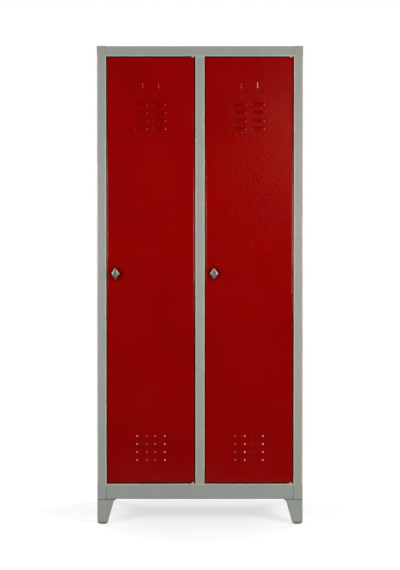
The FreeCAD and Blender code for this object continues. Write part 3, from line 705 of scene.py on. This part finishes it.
# A ring of points whose radius follows a rule, at a depth along Y
def ringLoop(bm, radiusAt, y, x, z, segments=48):
    verts = bmesh.ops.create_circle(bm, segments=segments, radius=1)["verts"]
    for vert in verts:
        angle = math.atan2(vert.co.y, vert.co.x)
        radius = radiusAt(angle)
        vert.co = Vector((x + radius * math.cos(angle), y, z + radius * math.sin(angle))) * mm
    return edgesOf(verts, "link_edges")


# A nut: hexagon loops with corners turned down at both ends, bridged round a bore; shares of its width
nutShape = {"chamfer": 0.09, "turnedDown": 0.98}


def nutForm(bm, width, hole, nearY, farY, x, z):
    chamfer = nutShape["chamfer"] * width

    def bore(angle):
        return hole

    def hexagon(angle):
        return width / 2 / math.cos(angle % (math.pi / 3) - math.pi / 6)

    def turnedDown(angle):
        return min(hexagon(angle), width / 2 * nutShape["turnedDown"])

    sections = [
        (bore, nearY), (turnedDown, nearY), (hexagon, nearY + chamfer),
        (hexagon, farY - chamfer), (turnedDown, farY), (bore, farY)]
    skinLoops(bm, [ringLoop(bm, radiusAt, y, x, z) for radiusAt, y in sections], True)


# Thread grooves as steps of radius and height
def threadSteps(radius, depth, start, end, pitch):
    count = int((end - start) / pitch)
    steps = []
    for turn in range(count):
        steps += [(radius - depth, start + turn * pitch), (radius, start + (turn + 0.5) * pitch)]
    return steps


# The latch behind each knob: a flanged bush with its nut, and a spindle with a threaded end and its nut
bushLow, bushHigh = spanOf("left_latch_bush")
bushNutLow, bushNutHigh = spanOf("left_latch_bush_nut")
camLow, camHigh = spanOf("left_latch_cam")
latchSize = {
    "flangeFront": bushLow[1], "doorFront": doorSkin["front"], "bushEnd": bushHigh[1], "flangeRadius": 11.5,
    "flangeEase": 0.6, "flangeRound": 0.5, "bushRadius": 8, "boreRadius": 4.05, "boreEase": 0.5,
    "plainLength": 2.2, "threadLead": 0.5, "bushPitch": 1.5, "bushThread": 0.7, "bushTip": 0.6,
    "bushTipEase": 0.8, "nutWidth": 22, "nutNear": bushNutLow[1], "nutFar": bushNutHigh[1],
    "spindleStart": -251.5, "neckEnd": knobSize["neckEnd"], "camFront": camLow[1], "camBack": camHigh[1],
    "spindleEnd": spanOf("left_latch_spindle")[1][1], "spindleRadius": 4, "spindleTip": 0.5,
    "threadRadius": 3, "threadStart": 0.4, "threadDepth": 0.35, "threadPitch": 1.0,
    "camNutWidth": 13, "camNutFar": spanOf("left_cam_nut")[1][1]}


# The bush from its flange to its threaded end
def latchBushSteps():
    size = latchSize
    bore = size["boreRadius"]
    flange = size["flangeRadius"]
    radius = size["bushRadius"]
    seat = size["doorFront"] - size["flangeFront"]
    end = size["bushEnd"] - size["flangeFront"]
    threadStart = seat + size["plainLength"]
    steps = [(bore, 0), (flange - size["flangeEase"], 0), (flange, size["flangeRound"]), (flange, seat)]
    steps += [(radius, seat), (radius, threadStart - size["threadLead"])]
    steps += threadSteps(radius, size["bushThread"], threadStart, end - size["bushTip"], size["bushPitch"])
    steps += [(radius - size["bushTipEase"], end)]
    steps += [(bore + size["boreEase"], end), (bore, end - size["boreEase"])]
    return steps


# The spindle from inside the knob to its threaded end
def spindleSteps():
    size = latchSize
    thread = size["threadRadius"]
    radius = size["spindleRadius"]
    neck, camFront, camBack, end = [
        size[name] - size["spindleStart"] for name in ("neckEnd", "camFront", "camBack", "spindleEnd")]
    tip = size["spindleTip"]
    steps = [(0, 0), (thread, 0), (thread, neck), (radius, neck)]
    steps += [(radius, camFront), (thread, camFront), (thread, camBack)]
    steps += threadSteps(
        thread, size["threadDepth"], camBack + size["threadStart"], end - tip, size["threadPitch"])
    steps += [(thread - tip, end), (0, end)]
    return steps


def makeLatch(side, centre):
    size = latchSize
    x = centre + latchX
    bm = bmesh.new()
    turnedForm(bm, latchBushSteps(), (0, 1, 0), (x, size["flangeFront"], latchZ))
    cleanForm(bm)
    finishPiece(bm, side + "LatchBush", side + "_door", "plated_steel", [side + "_latch_bush"])
    bm = bmesh.new()
    nutForm(bm, size["nutWidth"], size["bushRadius"], size["nutNear"], size["nutFar"], x, latchZ)
    finishPiece(bm, side + "LatchBushNut", side + "_door", "plated_steel", [side + "_latch_bush_nut"])
    bm = bmesh.new()
    turnedForm(bm, spindleSteps(), (0, 1, 0), (x, size["spindleStart"], latchZ))
    cleanForm(bm)
    finishPiece(bm, side + "LatchSpindle", side + "_latch", "plated_steel", [side + "_latch_spindle"])
    bm = bmesh.new()
    nutForm(bm, size["camNutWidth"], size["threadRadius"], size["camBack"], size["camNutFar"], x, latchZ)
    finishPiece(bm, side + "CamNut", side + "_latch", "plated_steel", [side + "_cam_nut"])


for side, centre in doorSides.items():
    makeLatch(side, centre)
print("latches made")


# A CAD node's own form with its sharp edges eased
easing = {"flatAngle": 1, "sharpAngle": 40}


def easedCopy(node, name, body, slot, offset, segments=2):
    bm = bmesh.new()
    bm.from_mesh(nodes[node].data)
    bmesh.ops.transform(bm, matrix=nodes[node].matrix_world, verts=bm.verts)
    bmesh.ops.remove_doubles(bm, verts=bm.verts, dist=weldReach)
    bmesh.ops.dissolve_limit(
        bm, angle_limit=math.radians(easing["flatAngle"]), use_dissolve_boundaries=False, verts=bm.verts,
        edges=bm.edges)
    sharp = [edge for edge in bm.edges if edge.calc_face_angle(0) > math.radians(easing["sharpAngle"])]
    roundEdges(bm, sharp, offset, segments, True)
    bmesh.ops.recalc_face_normals(bm, faces=bm.faces)
    finishPiece(bm, name, body, slot, [node])


for side in doorSides:
    easedCopy(side + "_latch_cam", side + "LatchCam", side + "_latch", "plated_steel", 0.5)
    easedCopy(side + "_towel_rail", side + "TowelRail", side + "_door", "red_enamel", 0.4)
    easedCopy(side + "_door_stiffener", side + "DoorStiffener", side + "_door", "red_enamel", 0.3)
    easedCopy(side + "_hat_shelf", side + "HatShelf", "carcass", "grey_enamel", 0.4)
    easedCopy(side + "_base_rail", side + "BaseRail", "carcass", "grey_enamel", 0.3)
easedCopy("hanger_rail_sockets", "hangerSockets", "carcass", "nylon", 1.2, 3)
easedCopy("door_buffers", "doorBuffers", "carcass", "rubber", 0.9, 3)
easedCopy("floor_panel", "floorTray", "carcass", "grey_enamel", 0.4)
easedCopy("top_panel", "topTray", "carcass", "grey_enamel", 0.4)
print("eased pieces made")

# Hinge bushes: a square shank in the ledge and a turned collar towards the door, whose end is rounded
# by steps in from its side and down from its end
bushSize = {
    "collar": 4.3, "bore": 3.1, "shank": 9.8, "depth": 6, "capFacing": 0.9,
    "rounding": ((0, 0.7), (0.6, 0.1), (1.0, 0))}


def makeBushes(name, node, inward):
    size = bushSize
    low, high = spanOf(node)
    end, far = (low[2], high[2]) if inward > 0 else (high[2], low[2])
    ledge = far - inward * size["depth"]
    length = abs(end - ledge)
    steps = [(size["bore"], 0), (size["collar"], 0)]
    steps += [(size["collar"] - inset, length - drop) for inset, drop in size["rounding"]]
    steps += [(size["bore"], length)]
    bm = bmesh.new()
    for centre in doorSides.values():
        x = centre + hingeX
        turnedForm(bm, steps, (0, 0, -inward), (x, hingeY, ledge))
        shank = bmesh.ops.create_cube(bm, size=1)["verts"]
        bmesh.ops.scale(bm, vec=(size["shank"] * mm, size["shank"] * mm, size["depth"] * mm), verts=shank)
        middle = ledge + inward * size["depth"] / 2
        bmesh.ops.translate(bm, vec=(x * mm, hingeY * mm, middle * mm), verts=shank)
        caps = []
        for face in bm.faces:
            if abs(face.normal.z) > size["capFacing"] and all(vert in shank for vert in face.verts):
                caps.append(face)
        bmesh.ops.inset_individual(bm, faces=caps, thickness=(size["shank"] / 2 - size["bore"]) * mm)
        bmesh.ops.bridge_loops(bm, edges=[edge for face in caps for edge in face.edges])
        bmesh.ops.delete(bm, geom=caps, context="FACES_ONLY")
    cleanForm(bm)
    finishPiece(bm, name, "carcass", "nylon", [node])


makeBushes("topHingeBushes", "top_hinge_bushes", 1)
makeBushes("bottomHingeBushes", "bottom_hinge_bushes", -1)
print("hinge bushes made")

# Dome rivets, painted over: on the back where the trays' flanges meet it, and on the shelves' flanges.
# The profile gives shares of the radius and of the dome
rivetSize = {
    "radius": 3.2, "dome": 0.95, "sink": 0.3, "profile": ((1, 0.2), (0.86, 0.62), (0.5, 0.92), (0, 1)),
    "segments": 16, "backX": (-350, -255, -145, -45, 45, 145, 255, 350), "backZ": (147.5, 1535.5, 1839),
    "backY": spanOf("back_panel")[1][1], "shelfX": 395.9, "partitionX": 1.6, "shelfY": (-120, 45, 205),
    "shelfZ": 1534}
# The pale edges, thinner enamel and painted highlight, are fainter on the rivets' heads, the same in every
# row
rivetLook = {**greyLook, "edge": "#B9B8AE", "edgeShare": 0.6, "paleBandHalf": 900}


def addRivet(bm, axis, place):
    size = rivetSize
    steps = [(0, -size["sink"]), (size["radius"], -size["sink"])]
    steps += [(across * size["radius"], up * size["dome"]) for across, up in size["profile"]]
    turnedForm(bm, steps, axis, place, size["segments"])


def makeRivets():
    size = rivetSize
    bm = bmesh.new()
    for x in size["backX"]:
        for z in size["backZ"]:
            addRivet(bm, (0, 1, 0), (x, size["backY"], z))
    for side in (-1, 1):
        for y in size["shelfY"]:
            addRivet(bm, (-side, 0, 0), (side * size["shelfX"], y, size["shelfZ"]))
            addRivet(bm, (side, 0, 0), (side * size["partitionX"], y, size["shelfZ"]))
    cleanForm(bm)
    rivets = finishPiece(bm, "trayRivets", "carcass", "grey_enamel")
    rivets.data.materials[0] = stovedEnamel("greyStovedEnamelOnRivets", rivetLook)


makeRivets()
print("rivets made")

# Feet: rounded sections up the side view, closed by a sole and a top plate, open at the inner corner
footLow, footHigh = spanOf("front_left_foot")
rearHigh = spanOf("rear_right_foot")[1]
footSize = {
    "halfWidth": rearHigh[0], "front": footLow[1], "back": rearHigh[1], "height": footHigh[2],
    "head": footHigh[0] - footLow[0], "waist": 64, "sole": 38, "flare": 6, "bend": 4,
    "outerRound": 11, "innerRound": 14, "corner": 8, "smallCorner": 5, "leastFlat": 0.2, "segments": 32,
    "wall": 2, "plate": 3, "return": 10, "groove": 2.2, "grooveStart": 95.9, "grooveRun": 0.4,
    "levels": (
        0, 0.4, 1.2, 2, 3.5, 5.5, 8, 11, 14, 30, 50, 70, 86, 89, 91, 92.5, 94, 95, 95.6, 95.9, 96.1, 96.3,
        footHigh[2])}


# How far the foot is drawn in from its outer faces at a level, and where its inner faces are
def footSpan(z):
    size = footSize
    outer = size["outerRound"]
    inner = size["innerRound"]
    bend = size["bend"]
    flareStart = size["height"] - size["flare"]
    low = outer - math.sqrt(max(0, outer ** 2 - max(0, outer - z) ** 2))
    lean = (size["waist"] - size["sole"]) / flareStart
    high = size["sole"] + lean * z
    if z > flareStart - bend:  # an even bend into the flare
        slope = (size["head"] - size["waist"]) / size["flare"]
        turn = min(z - (flareStart - bend), 2 * bend)
        high += (slope - lean) * (turn ** 2 / (4 * bend) + max(0, z - flareStart - bend))
    angle = math.atan(lean)
    reach = inner * math.tan((math.pi / 2 - angle) / 2)
    if z < reach * math.cos(angle):
        high = size["sole"] - reach + math.sqrt(inner ** 2 - (inner - z) ** 2)
    share = min(max((z - size["grooveStart"]) / size["grooveRun"], 0), 1)
    step = size["groove"] * share  # a shadow gap under the frame
    return low + step, high - step


# One section of a foot: a circle drawn out to a square with rounded corners
def footLoop(bm, z):
    size = footSize
    low, high = footSpan(z)
    verts = bmesh.ops.create_circle(bm, segments=size["segments"], radius=1)["verts"]
    halfStep = Matrix.Rotation(math.pi / size["segments"], 3, "Z")
    bmesh.ops.rotate(bm, cent=(0, 0, 0), matrix=halfStep, verts=verts)
    for vert in verts:
        outer = vert.co.x < 0 and vert.co.y < 0
        radius = min(size["corner"] if outer else size["smallCorner"], (high - low) / 2 - size["leastFlat"])
        x = (low + radius if vert.co.x < 0 else high - radius) + vert.co.x * radius
        y = (low + radius if vert.co.y < 0 else high - radius) + vert.co.y * radius
        vert.co = Vector((x, y, z)) * mm
    return edgesOf(verts, "link_edges")


# Opens the inner corner between the sole and the top plate
def openInnerCorner(bm):
    size = inMetres(footSize)
    edge = size["return"]
    for normal in ((1, 0, 0), (0, 1, 0)):
        whole = bm.verts[:] + bm.edges[:] + bm.faces[:]
        bmesh.ops.bisect_plane(bm, geom=whole, dist=cutReach, plane_co=(edge, edge, 0), plane_no=normal)
    opened = []
    for face in bm.faces:
        spot = face.calc_center_median()
        if min(spot.x, spot.y) > edge and size["wall"] < spot.z < size["height"] - size["plate"]:
            opened.append(face)
    bmesh.ops.delete(bm, geom=opened, context="FACES")


def makeFoot(name, node, signX, signY):
    size = footSize
    bm = bmesh.new()
    skinLoops(bm, [footLoop(bm, z) for z in size["levels"]])
    openInnerCorner(bm)
    bmesh.ops.scale(bm, vec=(signX, signY, 1), verts=bm.verts)
    if signX * signY < 0:
        bmesh.ops.reverse_faces(bm, faces=bm.faces)
    corner = (-signX * size["halfWidth"], size["front"] if signY > 0 else size["back"], 0)
    bmesh.ops.translate(bm, vec=Vector(corner) * mm, verts=bm.verts)
    finishPiece(bm, name, "carcass", "grey_enamel", [node], wall=size["wall"])


makeFoot("frontLeftFoot", "front_left_foot", 1, 1)
makeFoot("frontRightFoot", "front_right_foot", -1, 1)
makeFoot("rearLeftFoot", "rear_left_foot", 1, -1)
makeFoot("rearRightFoot", "rear_right_foot", -1, -1)
print("feet made")

# Floor, in metres: a pale disc that keeps the shadow near the locker and looks white further out,
# while gloss sees it pale nearby and dark further out, as in a dim room
floorLook = {
    "radius": 12.0, "segments": 96, "pale": "#B2B2B2", "dark": "#0A0A0A", "lift": 0.66,
    "fadeStart": 0.7, "fadeEnd": 1.9, "glossStart": 0.4, "glossEnd": 1.3}


def floorFinish(look):
    material, tree, place = newMaterial("paleStudioFloor")
    rays = addNode(tree, "ShaderNodeLightPath")
    seen = rays.outputs["Is Camera Ray"]
    distance = addNode(tree, "ShaderNodeVectorMath", {0: place}, operation="LENGTH")
    fade, room = [addNode(tree, "ShaderNodeMapRange", {
        "Value": distance, "From Min": look[start], "From Max": look[end]}, interpolation_type="SMOOTHSTEP")
        for start, end in (("fadeStart", "fadeEnd"), ("glossStart", "glossEnd"))]
    roomShare = addNode(tree, "ShaderNodeMath", {
        0: rays.outputs["Is Glossy Ray"], 1: room}, operation="MULTIPLY")
    tint = addNode(tree, "ShaderNodeMix", {
        "Factor": roomShare, "A": linear(look["pale"]), "B": linear(look["dark"])}, data_type="RGBA")
    pale = addNode(tree, "ShaderNodeBsdfDiffuse", {"Color": tint})
    glow = addNode(tree, "ShaderNodeMath", {0: seen, 1: look["lift"]}, operation="MULTIPLY")
    lifted = addNode(tree, "ShaderNodeEmission", {"Strength": glow})
    near = addNode(tree, "ShaderNodeAddShader", {0: pale, 1: lifted})
    white = addNode(tree, "ShaderNodeEmission", {"Strength": 1.0})
    farShare = addNode(tree, "ShaderNodeMath", {0: seen, 1: fade}, operation="MULTIPLY")
    closeMaterial(tree, addNode(tree, "ShaderNodeMixShader", {0: farShare, 1: near, 2: white}))
    return material


bm = bmesh.new()
bmesh.ops.create_circle(bm, cap_ends=True, segments=floorLook["segments"], radius=floorLook["radius"])
mesh = bpy.data.meshes.new("studioFloor")
bm.to_mesh(mesh)
bm.free()
floor = bpy.data.objects.new("studioFloor", mesh)
bpy.context.scene.collection.objects.link(floor)
mesh.materials.append(floorFinish(floorLook))

# World: white behind the locker, a dim room in front so that the gloss stays deep, soft fill all round
worldLook = {"fill": 0.24, "room": 0.004, "blend": 0.2}
world = bpy.data.worlds.new("studio")
bpy.context.scene.world = world
world.use_nodes = True
tree = world.node_tree
tree.nodes.clear()
rays = addNode(tree, "ShaderNodeLightPath")
direction = addNode(tree, "ShaderNodeTexCoord").outputs["Generated"]
split = addNode(tree, "ShaderNodeSeparateXYZ", {"Vector": direction})
behind = addNode(tree, "ShaderNodeMapRange", {
    "Value": split.outputs["Y"], "From Min": -worldLook["blend"], "From Max": worldLook["blend"],
    "To Min": worldLook["room"], "To Max": 1}, interpolation_type="SMOOTHSTEP")
glossy = addNode(tree, "ShaderNodeMix", {
    "Factor": rays.outputs["Is Glossy Ray"], "A": worldLook["fill"], "B": behind})
through = addNode(tree, "ShaderNodeMath", {
    0: rays.outputs["Is Camera Ray"], 1: rays.outputs["Is Transmission Ray"]}, operation="MAXIMUM")
level = addNode(tree, "ShaderNodeMix", {"Factor": through, "A": glossy, "B": 1})
sky = addNode(tree, "ShaderNodeBackground", {"Color": linear("#FFFFFF"), "Strength": level})
addNode(tree, "ShaderNodeOutputWorld", {"Surface": sky})


# Turns a lamp or the camera, which look along their own -Z, from a place towards a target
def aimed(place, target):
    return (Vector(target) - Vector(place)).to_track_quat("-Z", "Y").to_euler()


# Softboxes: place, what they face, size in metres, power in watts and colour
softboxes = {
    "keyLeft": ((-1.75, -2.0, 1.22), (0, -0.2, 1.12), (0.7, 0.8), 30, "#FFFFFF"),
    "keyRight": ((1.75, -2.0, 1.22), (0, -0.2, 1.12), (0.7, 0.8), 43.5, "#FFFFFF"),
    "topBox": ((0, 0.4, 4.2), (0, 0.401, 0), (3.2, 0.9), 34, "#FFFFFF"),
    "rearLeft": ((-2.8, 3.2, 2.0), (0, 0.2, 0.95), (1.2, 1.6), 75, "#FFFFFF"),
    "rearRight": ((2.8, 3.2, 2.0), (0, 0.2, 0.95), (1.2, 1.6), 75, "#FFFFFF"),
    "sheenPanel": ((0.86, -5.75, 1.85), (0.2, -0.24, 1.4), (0.3, 0.75), 1.1, "#FFC8AA")}
for name, (place, target, size, power, colour) in softboxes.items():
    lamp = bpy.data.lights.new(name, "AREA")
    lamp.color = linear(colour)[:3]
    lamp.shape = "RECTANGLE"
    lamp.size, lamp.size_y = size
    lamp.energy = power
    box = bpy.data.objects.new(name, lamp)
    box.location = place
    box.rotation_euler = aimed(place, target)
    box.visible_camera = False
    bpy.context.scene.collection.objects.link(box)

# Camera, in metres: on the middle line, 5.5 m from the front, above the middle, tilted down a little
cameraLook = {
    "place": (0, -5.7375, 1.155), "aim": (0, -0.2375, 1.0436), "lens": 89.94, "sensor": 36, "shift": -0.0523}
cameraData = bpy.data.cameras.new("camera")
cameraData.lens = cameraLook["lens"]
cameraData.sensor_width = cameraLook["sensor"]
cameraData.shift_y = cameraLook["shift"]
camera = bpy.data.objects.new("camera", cameraData)
camera.location = cameraLook["place"]
camera.rotation_euler = aimed(cameraLook["place"], cameraLook["aim"])
bpy.context.scene.collection.objects.link(camera)
bpy.context.scene.camera = camera
bpy.context.scene.view_settings.view_transform = "Standard"
print("stage, light and camera made")
